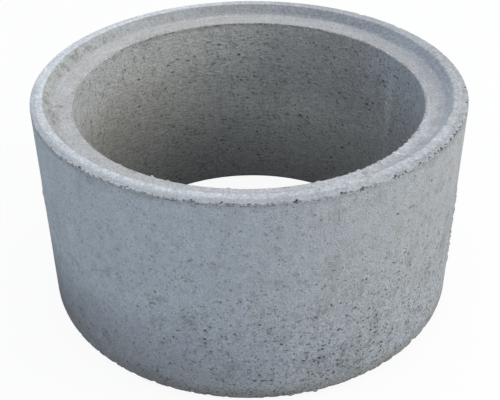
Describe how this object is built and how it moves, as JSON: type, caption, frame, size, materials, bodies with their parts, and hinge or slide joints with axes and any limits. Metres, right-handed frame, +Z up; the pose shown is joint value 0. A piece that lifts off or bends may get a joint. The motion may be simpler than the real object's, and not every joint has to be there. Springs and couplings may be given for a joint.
{
  "type": "concrete culvert ring",
  "caption": "Short concrete pipe ring with a rebated rim on top and a matching tongue below, stacked or laid in line to form a culvert or shaft.",
  "frame": {"origin": "on the ring's axis, at the bottom of the tongue that it stands on", "axes": "+Z up along the ring's axis, towards the rebated rim; X and Y are any two square directions across the round ring"},
  "size_m": [0.98, 0.98, 0.52],
  "materials": {
    "concrete": "cast concrete, matt, with air holes and worn edges"
  },
  "bodies": {
    "root": {"culvert_ring": "concrete"}
  },
  "joints": []
}
